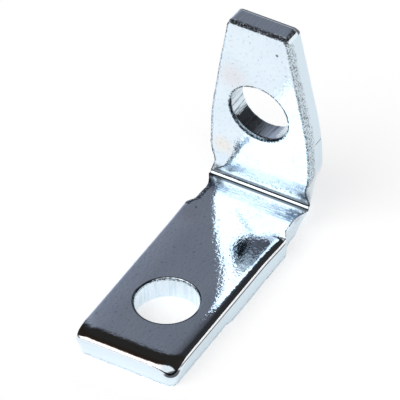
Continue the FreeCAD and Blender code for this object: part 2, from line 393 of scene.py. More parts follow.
def free_end(side, corner):
    """From the middle of the free end to the corner's arc."""
    share = even(HALF_WIDTH - corner.radius)
    drop = END_ROLL.foot + (corner.roll.foot - END_ROLL.foot) * smooth(share, 0.55, 1.0)

    def spot(n):
        reach = HALF_WIDTH - side_inset(n, side) - plan_radius(n, side, corner)
        return END_T + lipped_inset(n, END_ROLL), side * reach * share

    return Stretch(drop, spot)


def free_corner(side, corner):
    """Round a free corner's arc."""
    share = even(corner.roll.width * 1.6, SPACING / 2)
    drop = np.full(len(share), corner.roll.foot)

    def spot(n):
        radius = plan_radius(n, side, corner)
        centre_x = HALF_WIDTH - side_inset(n, side) - radius
        centre_t = END_T + lipped_inset(n, END_ROLL) + radius
        turn = share * math.pi / 2
        return centre_t - radius * np.cos(turn), side * (centre_x + radius * np.sin(turn))

    return Stretch(drop, spot)


def neck_roll(t, n, side):
    """The drawing over of the left notch's edge, and of the side next to it."""
    notch = along(-BOARD_NOTCH_LENGTH)
    share = smooth(t, 0.0, -0.5) * smooth(t, notch - NECK_ROLL_REACH, notch)
    return (side < 0) * quarter_inset(n, *LEFT_NECK_ROLL) * share


def board_side(side, corner):
    """Along a side of the board leg, from its free corner to the notch."""
    stop = along(-BOARD_NOTCH_LENGTH)
    share = even(stop - END_T - corner.radius)
    roll = side_roll(side)
    drop = corner.roll.foot + (roll.foot - corner.roll.foot) * smooth(share, 0.0, 0.12)

    def spot(n):
        start = END_T + lipped_inset(n, END_ROLL) + plan_radius(n, side, corner)
        t = start + (stop - start) * share
        fade = smooth(t, stop, stop - ROLL_FADE)
        inset = lipped_inset(n, roll) * fade + set_back(t, n, side)
        return t, side * (HALF_WIDTH - np.maximum(inset, neck_roll(t, n, side)))

    return Stretch(drop, spot)


def neck_side(side):
    """Along the notched stretch, round the fold."""
    start, stop = along(-BOARD_NOTCH_LENGTH), along(UPRIGHT_NOTCH_LENGTH)
    share = even(stop - start, SPACING * 0.7)
    t = start + (stop - start) * share
    drop = side_roll(side).foot

    def spot(n):
        fade = smooth(t, stop - ROLL_FADE, stop)
        inset = back_inset(n) * fade + neck_roll(t, n, side)
        return t + 0 * n, side * (neck_half_width(t, n) - inset)

    return Stretch(np.full(len(share), drop), spot)


def tip_radius(n):
    """Plan radius of the tip's corners, which open out towards the back."""
    front, back = TIP_CORNER_RADII
    return front + (back - front) * n / THICKNESS


def tip_cut(n):
    """How far along its edges a tip corner's rounding reaches."""
    return tip_radius(n) * math.tan((math.pi / 2 - HEAD_TAPER) / 2)


def head_side(side):
    """Up a side of the head: straight, round the shoulder and along the taper."""
    start, shoulder = along(UPRIGHT_NOTCH_LENGTH), along(SHOULDER_HEIGHT - THICKNESS)
    arc_start = along(SHOULDER_START - THICKNESS)
    reach = shoulder - arc_start
    radius = reach / math.tan(HEAD_TAPER / 2)
    arc_end = shoulder + reach * math.cos(HEAD_TAPER)
    share = even(TIP_T - start)

    def spot(n):
        stop = TIP_T - tip_cut(n) * math.cos(HEAD_TAPER)
        t = start + (stop - start) * share
        turn = np.arcsin(np.clip((t - arc_start) / radius, 0, math.sin(HEAD_TAPER)))
        x = HALF_WIDTH - radius * (1 - np.cos(turn)) - np.maximum(t - arc_end, 0) * math.tan(HEAD_TAPER)
        worn = HEAD_WEAR * smooth(t, *WEAR_RISE) * smooth(t, *WEAR_FALL) * (side < 0)
        inset = back_inset(n) + worn
        return t - inset * np.sin(turn), side * (x - inset * np.cos(turn))

    return Stretch(np.full(len(share), side_roll(side).foot), spot)


def tip_corner(side):
    """Round a corner of the tip."""
    share = even(TIP_CORNER_RADII[1] * 1.5, SPACING / 2)
    turn = HEAD_TAPER + (math.pi / 2 - HEAD_TAPER) * share

    def spot(n):
        radius = tip_radius(n)
        rise = radius - back_inset(n, TIP_BACK_ROLL)
        reach = radius - back_inset(n)
        centre_x = TIP_HALF_WIDTH - tip_cut(n)
        return TIP_T - radius + rise * np.sin(turn), side * (centre_x + reach * np.cos(turn))

    back = SIDE_BACK_ROLL + (TIP_BACK_ROLL - SIDE_BACK_ROLL) * smooth(share, 0, 1)
    return Stretch(np.full(len(share), side_roll(side).foot), spot, back)


def tip(side):
    """From a corner of the tip to its middle."""
    share = even(TIP_HALF_WIDTH)

    def spot(n):
        x = (TIP_HALF_WIDTH - tip_cut(n)) * (1 - share)
        return TIP_T - back_inset(n, TIP_BACK_ROLL) + 0 * x, side * x

    return Stretch(np.full(len(share), side_roll(side).foot), spot, np.full(len(share), TIP_BACK_ROLL))


def level_depths(drop, back, on_upright):
    """Depths of the outline's levels at each station.

    They crowd into the roll, which is at the board leg's top or the upright's back, into the torn
    band on the other side and round the sharp edge beyond it.
    """
    roll = np.linspace(0, math.pi / 2, ROLL_LEVELS + 1)[:, None] + 0 * drop
    wall = np.linspace(0, 1, WALL_LEVELS + 1)[1:, None] + 0 * drop
    tear = np.linspace(1, 0, TEAR_LEVELS + 1)[1:, None] + 0 * drop
    edge = np.linspace(0, math.pi / 2, EDGE_LEVELS + 1)[1:, None] + 0 * drop
    torn = TEAR_DEPTH * 1.3

    def from_roll(size):
        foot = THICKNESS - torn
        bands = [size * (1 - np.cos(roll)), size + (foot - size) * wall]
        bands += [THICKNESS - EDGE_RADIUS - (torn - EDGE_RADIUS) * tear]
        bands += [THICKNESS - EDGE_RADIUS * (1 - np.sin(edge))]
        return np.concatenate(bands)

    board = from_roll(drop)
    head = THICKNESS - from_roll(back)[::-1]
    return board * (1 - on_upright) + head * on_upright


def ring_normals(grid):
    """Outward directions in t and x of a closed outline's stations, at each level."""
    step = np.roll(grid[..., :2], -1, axis=1) - np.roll(grid[..., :2], 1, axis=1)
    step /= np.linalg.norm(step, axis=-1, keepdims=True)
    return np.stack([-step[..., 1], step[..., 0]], axis=-1)


def wavering(points, scale, seed):
    """Smooth noise at points, about -1 to 1."""
    return np.array([noise(Vector(p) * scale + Vector((seed, seed, seed))) for p in points])


def from_burr(t, n):
    """Distance from the edge that the punch broke through: the board leg's lower, the upright's front."""
    on_upright = smooth(t, 0.3 * BEND, 0.7 * BEND)
    return n * on_upright + (THICKNESS - n) * (1 - on_upright)


def rough_outline(grid):
    """Rounds the sharp edges slightly and tears the wall beside them."""
    t, _, n = np.moveaxis(grid, -1, 0)
    flat = grid.reshape(-1, 3)
    coarse, fine, grit = [wavering(flat, scale, seed).reshape(t.shape) for scale, seed in TEAR_NOISES]
    gap = from_burr(t, n)
    away_from_fold = smooth(np.abs(t - BEND / 2), *UNTORN_FOLD)
    on_head = smooth(t, HEAD_START, HEAD_START + 0.5) * smooth(t, TIP_T - 0.3, TIP_T - 0.5)
    depth = TEAR_DEPTH + (HEAD_TEAR_DEPTH - TEAR_DEPTH) * on_head
    ragged = (TEAR_RAGGED[0] * coarse + TEAR_RAGGED[1] * fine) * depth
    torn = smooth(gap + ragged, depth, depth * 0.75) * away_from_fold
    pits = TEAR_ROUGH[0] * coarse + TEAR_ROUGH[1] * fine + TEAR_ROUGH[2] * grit
    inset = quarter_inset(gap, EDGE_RADIUS, EDGE_RADIUS) + torn * (TEAR_INSET + pits)
    moved = grid.copy()
    moved[..., :2] -= ring_normals(grid) * np.maximum(inset, 0)[..., None]
    return moved, torn


def stretch_levels(stretch):
    """Strip coordinates of a stretch's stations, level by level."""
    middle_t = stretch.spot(np.full(len(stretch.drop), THICKNESS / 2))[0]
    on_upright = smooth(np.broadcast_to(middle_t, stretch.drop.shape), 0, BEND)
    n = level_depths(stretch.drop, stretch.back, on_upright)
    t, x = stretch.spot(n)
    return np.stack([np.broadcast_to(t, n.shape), np.broadcast_to(x, n.shape), n], axis=-1)


def outline_levels():
    """Strip coordinates of the outer wall, as levels by stations, closed round the strip."""
    runs = []
    for side, corner in ((1, RIGHT_CORNER), (-1, LEFT_CORNER)):
        half = [free_end(side, corner), free_corner(side, corner), board_side(side, corner)]
        half += [neck_side(side), head_side(side), tip_corner(side), tip(side)]
        runs.append(np.concatenate([stretch_levels(stretch) for stretch in half], axis=1))
    right, left = runs
    # the right run starts at the middle of the free end, and the left run is walked backwards from the tip
    tip_middle = left[:, -1:] * [1, 0, 1]
    tip_middle[..., 0] = TIP_T - back_inset(tip_middle[..., 2], TIP_BACK_ROLL)
    return np.concatenate([right, tip_middle, left[:, :0:-1]], axis=1)


def hole_levels(centre_t, rolled_in_front):
    """Strip coordinates of a hole's wall: rolled where the punch entered and flared where it came out."""
    count = round(2 * math.pi * HOLE_RADIUS / (SPACING * 0.8))
    angle = np.arange(count) / count * 2 * math.pi
    turn = np.linspace(0, math.pi / 2, ROLL_LEVELS + 1)
    entry = HOLE_ROLL * (1 - np.cos(turn))
    growth = HOLE_ROLL * (1 - np.sin(turn))
    straight = np.linspace(HOLE_ROLL, THICKNESS, WALL_LEVELS + 1)[1:]
    depth = np.concatenate([entry, straight])
    flare = BREAKOUT_FLARE * smooth(straight, THICKNESS - BREAKOUT_DEPTH, THICKNESS)
    flare += EDGE_RADIUS * (straight == THICKNESS)
    radius = HOLE_RADIUS + np.concatenate([growth, flare])
    if not rolled_in_front:
        depth, radius = THICKNESS - depth[::-1], radius[::-1]
    t = centre_t + radius[:, None] * np.cos(angle)
    x = radius[:, None] * np.sin(angle)
    return np.stack([t, x, np.broadcast_to(depth[:, None], t.shape)], axis=-1)


def rim_tree(rim):
    """Search tree of the rims' points."""
    tree = KDTree(len(rim))
    for i, (t, x) in enumerate(rim):
        tree.insert((t, x, 0), i)
    tree.balance()
    return tree


def staggered(rim, tree):
    """Points in staggered rows, none of them close to a rim."""
    rows = np.arange(rim[:, 0].min() + SPACING, rim[:, 0].max(), SPACING)
    columns = np.arange(-HALF_WIDTH, HALF_WIDTH, SPACING)
    spots = []
    for i, row in enumerate(rows):
        for column in columns + (i % 2) * SPACING / 2:
            if tree.find((row, column, 0))[2] > SPACING * 0.7:
                spots.append((row, column))
    return np.array(spots)


def triangulated(points, loops):
    """Triangles between points, which count the loops' points first, but for those in the holes."""
    edges = []
    first = 0
    for loop in loops:
        ring = np.arange(len(loop))
        edges += [(first + int(i), first + int((i + 1) % len(loop))) for i in ring]
        first += len(loop)
    made = delaunay_2d_cdt([Vector(p) for p in points], edges, [], 1, SNAP)
    origin = [ids[0] for ids in made[3]]
    triangles = np.array([[origin[v] for v in face] for face in made[2]])
    middle = points[triangles].mean(axis=1)
    keep = np.ones(len(triangles), dtype=bool)
    for loop in loops[1:]:
        centre = loop.mean(axis=0)
        keep &= np.hypot(*(middle - centre).T) > np.hypot(*(loop[0] - centre)) * 0.995
    return triangles[keep]


def sheet(loops, n):
    """A face of the sheet inside its outer loop and round its holes.

    Loops are arrays of t and x. Gives the interior points, their distances from the loops, and
    triangles that count the loops' points first, then the interior points.
    """
    rim = np.concatenate(loops)
    tree = rim_tree(rim)
    points = np.concatenate([rim, staggered(rim, tree)])
    triangles = triangulated(points, loops)
    used = np.unique(triangles)
    used = used[used >= len(rim)]
    renumber = np.full(len(points), -1)
    renumber[:len(rim)] = np.arange(len(rim))
    renumber[used] = len(rim) + np.arange(len(used))
    interior = points[used]
    gaps = np.array([tree.find((t, x, 0))[2] for t, x in interior])
    return np.column_stack([interior, np.full(len(interior), n)]), gaps, renumber[triangles]


def ring_quads(levels, stations, first):
    """Quads of a closed wall, as vertex numbers."""
    ring = np.arange(stations)
    following = (ring + 1) % stations
    quads = []
    for level in range(levels - 1):
        upper = first + level * stations
        lower = upper + stations
        quads.append(np.column_stack([upper + ring, lower + ring, lower + following, upper + following]))
    return np.concatenate(quads)


def dish(t, x):
    """How far the board leg's top sinks towards its edges."""
    side_gap = HALF_WIDTH - np.abs(x)
    end_gap = t - END_T
    near = np.clip(1 - np.minimum(side_gap, end_gap) / DISH_REACH, 0, 1)
    fade = smooth(t, -BOARD_NOTCH_LENGTH + CREASE_RADIUS, -BOARD_NOTCH_LENGTH - DISH_REACH)
    return DISH_DROP * near ** 2 * fade


def past_roll(wall, from_back):
    """1 on a wall and 0 on its roll, which is at its first levels or at its last."""
    level = np.arange(len(wall))[:, None]
    if from_back:
        level = len(wall) - 1 - level
    return smooth(level, ROLL_LEVELS - 1, ROLL_LEVELS) + 0 * wall[..., 0]


def outline_mask(wall):
    """The same for the outer wall, whose roll passes from the board leg's top to the upright's back."""
    on_upright = smooth(wall[..., 0], 0, BEND)
    return past_roll(wall, False) * (1 - on_upright) + past_roll(wall, True) * on_upright


def rim_ids(wall, start, level):
    """Numbers of a wall's points at its first or last level."""
    numbers = start + np.arange(wall.shape[0] * wall.shape[1])
    return numbers.reshape(wall.shape[:2])[level]


def bracket_skin():
    """The whole skin: strip coordinates of its points, its faces and the points' attributes."""
    outline, torn = rough_outline(outline_levels())
    board_hole = hole_levels(BOARD_HOLE_T, True)
    connector_hole = hole_levels(CONNECTOR_HOLE_T, False)
    walls = [outline, board_hole, connector_hole]
    masks = [outline_mask(outline), past_roll(board_hole, False), past_roll(connector_hole, True)]
    points = [wall.reshape(-1, 3) for wall in walls]
    sheared = [mask.ravel() for mask in masks]
    below_rim = [wall[..., 2].ravel() for wall in walls]
    faces, starts = [], []
    count = 0
    for wall in walls:
        starts.append(count)
        faces += ring_quads(wall.shape[0], wall.shape[1], count).tolist()
        count += wall.shape[0] * wall.shape[1]
    for level, n in ((0, 0.0), (-1, THICKNESS)):
        interior, gaps, triangles = sheet([wall[level][:, :2] for wall in walls], n)
        rims = [rim_ids(wall, start, level) for wall, start in zip(walls, starts)]
        triangles = np.concatenate(rims + [count + np.arange(len(interior))])[triangles]
        faces += (triangles[:, ::-1] if level == 0 else triangles).tolist()
        points.append(interior)
        sheared.append(np.zeros(len(interior)))
        below_rim.append(-gaps if level == 0 else THICKNESS + gaps)
        count += len(interior)
    attributes = {
        "sheared": np.concatenate(sheared),
        "torn": np.concatenate([torn.ravel(), np.zeros(count - torn.size)]),
        "below_rim": np.concatenate(below_rim),
    }
    return np.concatenate(points), faces, attributes


def lifted(strip, below_rim):
    """Depths with the burr round the upright's front and the faces' slight waves."""
    t, x, n = strip.T
    flat = strip * [1, 1, 0]
    coarse, fine = [wavering(flat, scale, seed) for scale, seed in BURR_NOISES]
    near_rim = smooth(np.abs(below_rim), BURR_REACH, 0) * smooth(t, BEND + 0.3, BEND + 0.8)
    steady, by_coarse, by_fine = BURR_SHARES
    burr = BURR_HEIGHT * near_rim * np.clip(steady + by_coarse * coarse + by_fine * fine, 0, 1)
    away_from_fold = smooth(np.abs(t - BEND / 2), 1.0, 2.5)
    waves = WAVE_HEIGHT * (1 + wavering(flat, WAVES_PER_MM, WAVE_SEED)) * away_from_fold
    top = 1 - n / THICKNESS
    return n + (dish(t, x) + waves - burr) * top


def make_bracket(material):
    """The dressed bracket in place of the plain solid."""
    strip, faces, attributes = bracket_skin()
    spots = place(strip[:, 0], strip[:, 1], lifted(strip, attributes["below_rim"])) / MM
    mesh = bpy.data.meshes.new("bracket_skin")
    mesh.from_pydata(spots.tolist(), [], faces)
    mesh.polygons.foreach_set("use_smooth", [True] * len(mesh.polygons))
    mesh.set_sharp_from_angle(angle=math.radians(SHARP_ANGLE))
    layer = mesh.attributes.new("strip", "FLOAT_VECTOR", "POINT")
    layer.data.foreach_set("vector", strip.ravel())
    for name, values in attributes.items():
        layer = mesh.attributes.new(name, "FLOAT", "POINT")
        layer.data.foreach_set("value", values)
    mesh.materials.append(material)
    mesh.update()
    piece = bpy.data.objects.new("bracket_skin", mesh)
    bpy.context.scene.collection.objects.link(piece)
    return piece


class Nodes:
    """Small helpers for building the node tree of a material or a world."""

    def __init__(self, owner):
        owner.use_nodes = True
        self.nodes = owner.node_tree.nodes
        self.links = owner.node_tree.links
        self.colour = None

    def feed(self, socket, value):
        """Links a socket, or sets its value."""
        if isinstance(value, bpy.types.NodeSocket):
            self.links.new(value, socket)
        else:
            socket.default_value = value

    def calc(self, operation, *values):
        """A maths operation."""
        node = self.nodes.new("ShaderNodeMath")
        node.operation = operation
        for socket, value in zip(node.inputs, values):
            self.feed(socket, value)
        return node.outputs[0]

    def across(self, operation, vector, other):
        """A vector operation with a fixed second vector."""
        node = self.nodes.new("ShaderNodeVectorMath")
        node.operation = operation
        self.feed(node.inputs[0], vector)
        node.inputs[1].default_value = other
        return node.outputs

    def ease(self, value, start, end, low=0.0, high=1.0):
        """Eases from low at start to high at end."""
        node = self.nodes.new("ShaderNodeMapRange")
        node.interpolation_type = "SMOOTHSTEP"
        self.feed(node.inputs["Value"], value)
        for name, number in (("From Min", start), ("From Max", end), ("To Min", low), ("To Max", high)):
            node.inputs[name].default_value = number
        return node.outputs["Result"]

    def blend(self, share, under, over):
        """Mixes two colours by a share."""
        node = self.nodes.new("ShaderNodeMix")
        node.data_type = "RGBA"
        self.feed(node.inputs[0], share)
        self.feed(node.inputs[6], under)
        self.feed(node.inputs[7], over)
        return node.outputs[2]

    def all_of(self, *masks):
        """Product of masks."""
        product = masks[0]
        for mask in masks[1:]:
            product = self.calc("MULTIPLY", product, mask)
        return product

    def paint(self, mask, tone, share=1.0):
        """Lays a tone over the colour where the mask is 1."""
        self.colour = self.blend(self.calc("MULTIPLY", mask, share), self.colour, tone)


class Shading(Nodes):
    """A metal whose colour and relief are painted on the strip."""

    def __init__(self, name):
        self.material = bpy.data.materials.new(name)
        super().__init__(self.material)
        self.shader = self.nodes["Principled BSDF"]
        self.strip = self.attribute("strip", "Vector")
        self.t, self.x, self.n = self.parts(self.strip)
        self.sheared = self.attribute("sheared")
        self.torn = self.attribute("torn")
        self.below_rim = self.attribute("below_rim")
        self.grit = self.grain(self.strip, 8.0, 3.0, 0.7)
        self.relief = 0.0

    def attribute(self, name, output="Fac"):
        node = self.nodes.new("ShaderNodeAttribute")
        node.attribute_name = name
        return node.outputs[output]

    def stretched(self, vector, scale):
        return self.across("MULTIPLY", vector, scale)[0]

    def grain(self, vector, scale, detail=2.0, roughness=0.5):
        node = self.nodes.new("ShaderNodeTexNoise")
        self.feed(node.inputs["Vector"], vector)
        node.inputs["Scale"].default_value = scale
        node.inputs["Detail"].default_value = detail
        node.inputs["Roughness"].default_value = roughness
        return node.outputs["Fac"]

    def parts(self, vector):
        node = self.nodes.new("ShaderNodeSeparateXYZ")
        self.feed(node.inputs[0], vector)
        return node.outputs

    def spot(self, vector, centre, reach, soft=0.5):
        """1 near a place on the strip, fading to 0 at reach."""
        distance = self.across("DISTANCE", vector, centre)["Value"]
        return self.ease(distance, reach, reach * soft)

    def window(self, value, low, high, soft):
        """1 between two values, easing to 0 over a distance outside them."""
        return self.all_of(self.ease(value, low - soft, low), self.ease(value, high + soft, high))

    def raise_by(self, height, *masks):
        """Adds to the relief, in millimetres."""
        self.relief = self.calc("ADD", self.relief, self.calc("MULTIPLY", self.all_of(*masks), height))


def tint_faces(make):
    """Blue-white plate, with the passivation film's faint blushes."""
    on_upright = make.ease(make.t, BEND - 0.1, BEND + 0.1)
    cloud = make.grain(make.strip, 0.45, 3.0)
    make.colour = make.blend(make.ease(cloud, 0.35, 0.65), FACE, FACE_BLUE)
    make.paint(make.all_of(make.spot(make.strip, PINK_BLUSH, 1.3, 0.1), on_upright), BLUSH)
    make.paint(make.all_of(make.spot(make.strip, STRAW_BLUSH, 0.8, 0.2), on_upright), STRAW)
    make.paint(make.spot(make.strip, NOTCH_BLUSH, 0.9, 0.1), BLUSH, 0.6)
    speckle = make.grain(make.strip, 6.0, 4.0, 0.8)
    make.paint(make.ease(speckle, 0.48, 0.62), MOTTLE, 0.14)


def at_tip(make):
    """1 at the upright's tip."""
    return make.ease(make.t, TIP_T - 0.4, TIP_T - 0.3)


def on_board_leg(make):
    """1 on the board leg, up to its notches."""
    return make.ease(make.t, -BOARD_NOTCH_LENGTH + 0.4, -BOARD_NOTCH_LENGTH)


def on_inner_face(make):
    """1 on the board leg's top and the upright's front."""
    return make.ease(make.n, 0.05, 0.0)


def below_roll(make, roll, band):
    """1 in a band of depths, which are counted from the foot of a roll."""
    low, high = band
    return make.window(make.n, roll.foot + low, roll.foot + high, 0.03)


def near_hole(make, centre_t, margin):
    """1 on a hole's wall and its rims."""
    flat = make.stretched(make.strip, (1, 1, 0))
    return make.spot(flat, (centre_t, 0, 0), HOLE_RADIUS + margin, 0.95)


def tint_walls(make):
    """Duller sheared walls, paler at both ends of the strip."""
    at_ends = make.calc("MAXIMUM", make.ease(make.t, END_T + 0.5, END_T + 0.2), at_tip(make))
    make.paint(make.sheared, WALL)
    make.paint(make.all_of(make.sheared, at_ends), END_WALL)


def paint_light_below_rolls(make):
    """Painted highlights in bright bands under the board leg's rolls, a russet band, a broken dark line of
    painted shade at the right roll's foot, and the corner's spot of painted dark reflection.
    """
    on_right = make.ease(make.x, SIDE_START, SIDE_START + 0.3)
    right_side = make.all_of(on_right, make.ease(make.t, *CORNER_END), on_board_leg(make))
    off_right = make.ease(make.x, SIDE_START, SIDE_START - 0.3)
    front = make.all_of(make.ease(make.t, *reversed(CORNER_END)), off_right)
    # painted highlights under the right side's roll and the free end's roll
    make.paint(make.all_of(right_side, below_roll(make, RIGHT_ROLL, RIGHT_BAND)), BURNISH_AND_HIGHLIGHT)
    make.paint(make.all_of(front, below_roll(make, END_ROLL, END_BAND)), BURNISH_AND_HIGHLIGHT)
    make.paint(make.all_of(front, below_roll(make, END_ROLL, RUSSET_BAND)), RUSSET, 0.6)
    # painted shade: a broken dark line at the right roll's foot
    line = below_roll(make, RIGHT_ROLL, BROKEN_LINE)
    make.paint(make.all_of(right_side, line, make.ease(make.grit, 0.30, 0.38)), PITS_AND_PAINTED_SHADE, 0.95)
    # painted dark reflection at the right free corner
    flattened = make.stretched(make.strip, (1, 1, CORNER_SPOT_STRETCH))
    make.paint(make.spot(flattened, CORNER_SPOT, 0.50, 0.7), PITS_AND_PAINTED_SHADE, 0.95)


def pit_tears_and_paint_tip_reflection(make):
    """Dark pits where the metal tore, and a painted dark reflection along the tip's back edge."""
    make.paint(make.all_of(make.torn, at_tip(make), make.ease(make.grit, 0.40, 0.46)), PITS_AND_PAINTED_SHADE, 0.95)
    # painted dark reflection along the tip's back edge
    back_edge = make.window(make.n, THICKNESS - TIP_BACK_ROLL + 0.025, THICKNESS, 0.015)
    make.paint(make.all_of(at_tip(make), back_edge), TIP_EDGE_REFLECTION_TONE)
    fine = make.grain(make.strip, 11.0, 2.0, 0.6)
    below_tip = make.ease(make.t, TIP_T - 0.3, TIP_T - 0.4)
    on_head = make.all_of(make.torn, below_tip, make.ease(make.t, HEAD_START, HEAD_START + 0.6))
    make.paint(make.all_of(on_head, make.ease(fine, 0.52, 0.60)), PITS_AND_PAINTED_SHADE, 0.75)
    make.paint(make.all_of(make.torn, on_board_leg(make), make.ease(fine, 0.56, 0.62)), PITS_AND_PAINTED_SHADE, 0.5)


def outline_holes(make):
    """Broken dark lines round the holes; the board hole's line along its front rim is painted shade."""
    near = near_hole(make, CONNECTOR_HOLE_T, CONNECTOR_HOLE_MARGIN)
    rim = make.window(make.below_rim, *CONNECTOR_RIM, RIM_SOFTNESS)
    make.paint(make.all_of(near, rim, make.ease(make.grit, 0.44, 0.49)), PITS_AND_PAINTED_SHADE, 0.95)
    # painted shade along the board hole's front rim
    near = near_hole(make, BOARD_HOLE_T, BOARD_HOLE_MARGIN)
    front_half = make.ease(make.t, BOARD_HOLE_T + 0.4, BOARD_HOLE_T - 0.2)
    rim = make.window(make.below_rim, *BOARD_RIM, RIM_SOFTNESS)
    make.paint(make.all_of(near, front_half, rim), PITS_AND_PAINTED_SHADE, 0.95)
    roll = make.window(make.n, 0.02, 0.16, RIM_SOFTNESS)
    make.paint(make.all_of(near, roll, make.ease(make.grit, 0.50, 0.55)), PITS_AND_PAINTED_SHADE, 0.8)


def streak_holes(make):
    """Draw lines down the holes' walls: dark and bright in the upright, faint in the board leg."""
    drawn = make.grain(make.stretched(make.strip, (1, 1, 0.05)), 5.0, 4.0, 0.8)
    within = make.window(make.below_rim, 0.10, THICKNESS - 0.06, 0.04)
    in_hole = make.all_of(near_hole(make, CONNECTOR_HOLE_T, CONNECTOR_HOLE_MARGIN), within)
    make.paint(make.all_of(in_hole, make.ease(drawn, 0.50, 0.60)), PITS_AND_PAINTED_SHADE, 0.7)
    make.paint(make.all_of(in_hole, make.ease(drawn, 0.45, 0.38)), BURNISH_AND_HIGHLIGHT, 0.2)
    near = near_hole(make, BOARD_HOLE_T, BOARD_HOLE_MARGIN)
    in_hole = make.all_of(near, within, make.ease(make.n, 0.16, 0.22))
    make.paint(in_hole, END_WALL)
    make.paint(make.all_of(in_hole, make.ease(drawn, 0.46, 0.58)), WALL, 0.9)


def outline_edges(make):
    """Broken dark lines along the notches' edges, and painted shade of the burr along the upright's torn
    ones.
    """
    beside = make.ease(make.calc("ABSOLUTE", make.x), SIDE_START, SIDE_START + 0.1)
    edge = make.window(make.below_rim, *NOTCH_RIM, RIM_SOFTNESS)
    notch = make.all_of(make.window(make.t, *NOTCH_LINE, 0.1), beside)
    make.paint(make.all_of(notch, edge, make.ease(make.grit, 0.40, 0.46)), PITS_AND_PAINTED_SHADE, 0.9)
    # painted shade of the burr along the upright's front edges, beside the real burr of the geometry
    upright = make.ease(make.t, BEND + 0.4, BEND + 0.8)
    edge = make.window(make.below_rim, *UPRIGHT_RIM, RIM_SOFTNESS)
    make.paint(make.all_of(upright, edge, make.ease(make.grit, 0.50, 0.56)), PITS_AND_PAINTED_SHADE, 0.8)


def tint_marks(make):
    """Handling marks that the photograph shows: small pits, and a nick across the right side."""
    for where, reach in MARKS:
        make.paint(make.spot(make.strip, where, reach, 0.4), PITS_AND_PAINTED_SHADE, 0.85)
    across = make.window(make.t, NICK_T - NICK_HALF_WIDTH, NICK_T + NICK_HALF_WIDTH, NICK_HALF_WIDTH)
    on_right = make.ease(make.x, SIDE_START, SIDE_START + 0.1)
    right_back = make.all_of(on_right, make.sheared, make.ease(make.n, *NICK_START))
    make.paint(make.all_of(across, right_back), PITS_AND_PAINTED_SHADE, 0.7)


def darken_crease(make):
    """Painted shade in the crease's two dark lines, and dark blots at its ends."""
    inside = on_inner_face(make)
    # painted shade: the crease's two dark lines
    for low, high, soft, share in CREASE_LINES:
        make.paint(make.all_of(inside, make.window(make.t, low, high, soft)), PITS_AND_PAINTED_SHADE, share)
    ragged = make.ease(make.grain(make.strip, 6.0, 4.0, 0.75), 0.34, 0.48)
    for where, reach in CREASE_BLOTS:
        make.paint(make.all_of(make.spot(make.strip, where, reach, 0.0), ragged), PITS_AND_PAINTED_SHADE, 0.9)


def striate(make):
    """Fine drawn lines on the board leg along the crease, strongest at its ends, over speckled painted shade
    across their band. Gives their relief.
    """
    lines = make.grain(make.stretched(make.strip, (1, 0.09, 1)), 8.0, 5.0, 0.8)
    specks = make.grain(make.stretched(make.strip, (1, 0.5, 1)), 9.0, 4.0, 0.7)
    to_right = make.ease(make.x, -1.0, 2.4)
    low = make.calc("MULTIPLY_ADD", to_right, -STRIATED_GROWTH, -STRIATED_WIDTH)
    above_low = make.ease(make.calc("SUBTRACT", make.t, low), -0.35, 0.1)
    band = make.all_of(above_low, make.ease(make.t, -0.15, -0.5))
    at_ends = make.calc("MAXIMUM", make.ease(make.x, 0.6, 2.2), make.ease(make.x, -0.9, -2.3))
    strength = make.calc("MULTIPLY_ADD", at_ends, 0.6, 0.4)
    striated = make.all_of(band, strength, on_inner_face(make))
    # painted shade of the band's slight curvature, in specks
    make.paint(make.all_of(striated, make.ease(specks, 0.38, 0.60)), STRIATIONS_AND_PAINTED_REFLECTION, 0.65)
    make.paint(make.all_of(striated, make.ease(lines, 0.46, 0.56)), STRIATIONS_AND_PAINTED_REFLECTION, 0.9)
    return make.all_of(lines, band)


def paint_upright_line_and_reflection(make):
    """The thin broken line above the crease, and the painted reflection of the board leg's left edge, a
    streak towards the connector hole.
    """
    inside = on_inner_face(make)
    fine = make.grain(make.stretched(make.strip, (1, 0.35, 1)), 14.0, 3.0, 0.7)
    line = make.window(make.t, *UPPER_LINE, 0.10)
    make.paint(make.all_of(inside, line, make.ease(fine, 0.50, 0.58)), STRIATIONS_AND_PAINTED_REFLECTION, 0.8)
    # painted reflection of the board leg's left edge
    ragged = make.calc("MULTIPLY_ADD", make.grain(make.strip, 4.0, 3.0, 0.7), 0.5, -0.25)
    streak = streak_mask(make, make.t, make.calc("ADD", make.x, ragged))
    make.paint(make.all_of(streak, inside, make.ease(fine, 0.35, 0.55, 0.5, 1.0)), STRIATIONS_AND_PAINTED_REFLECTION, 0.8)


def paint_hole_reflection(make):
    """Painted reflection of the connector hole on the board leg: a dark patch with its darker heart, both
    with ragged edges.
    """
    inside = on_inner_face(make)
    # painted reflection of the connector hole
    body = make.spot(make.strip, REFLECTED_HOLE_BODY, REFLECTED_HOLE_BODY_REACH, 0.4)
    tail = make.spot(make.strip, REFLECTED_HOLE_TAIL, REFLECTED_HOLE_TAIL_REACH, 0.0)
    ragged = make.grain(make.strip, 6.0, 3.0, 0.7)
    reflection = make.calc("MULTIPLY_ADD", ragged, 2.5, make.calc("MAXIMUM", body, tail))
    make.paint(make.all_of(make.ease(reflection, 1.4, 2.0), inside), REFLECTED_HOLE_TONE, 0.6)
    core = make.spot(make.strip, REFLECTED_HOLE_HEART, REFLECTED_HOLE_HEART_REACH, 0.0)
    heart = make.calc("MULTIPLY_ADD", ragged, 2.0, core)
    make.paint(make.all_of(make.ease(heart, 1.2, 1.7), inside), STRIATIONS_AND_PAINTED_REFLECTION, 0.5)


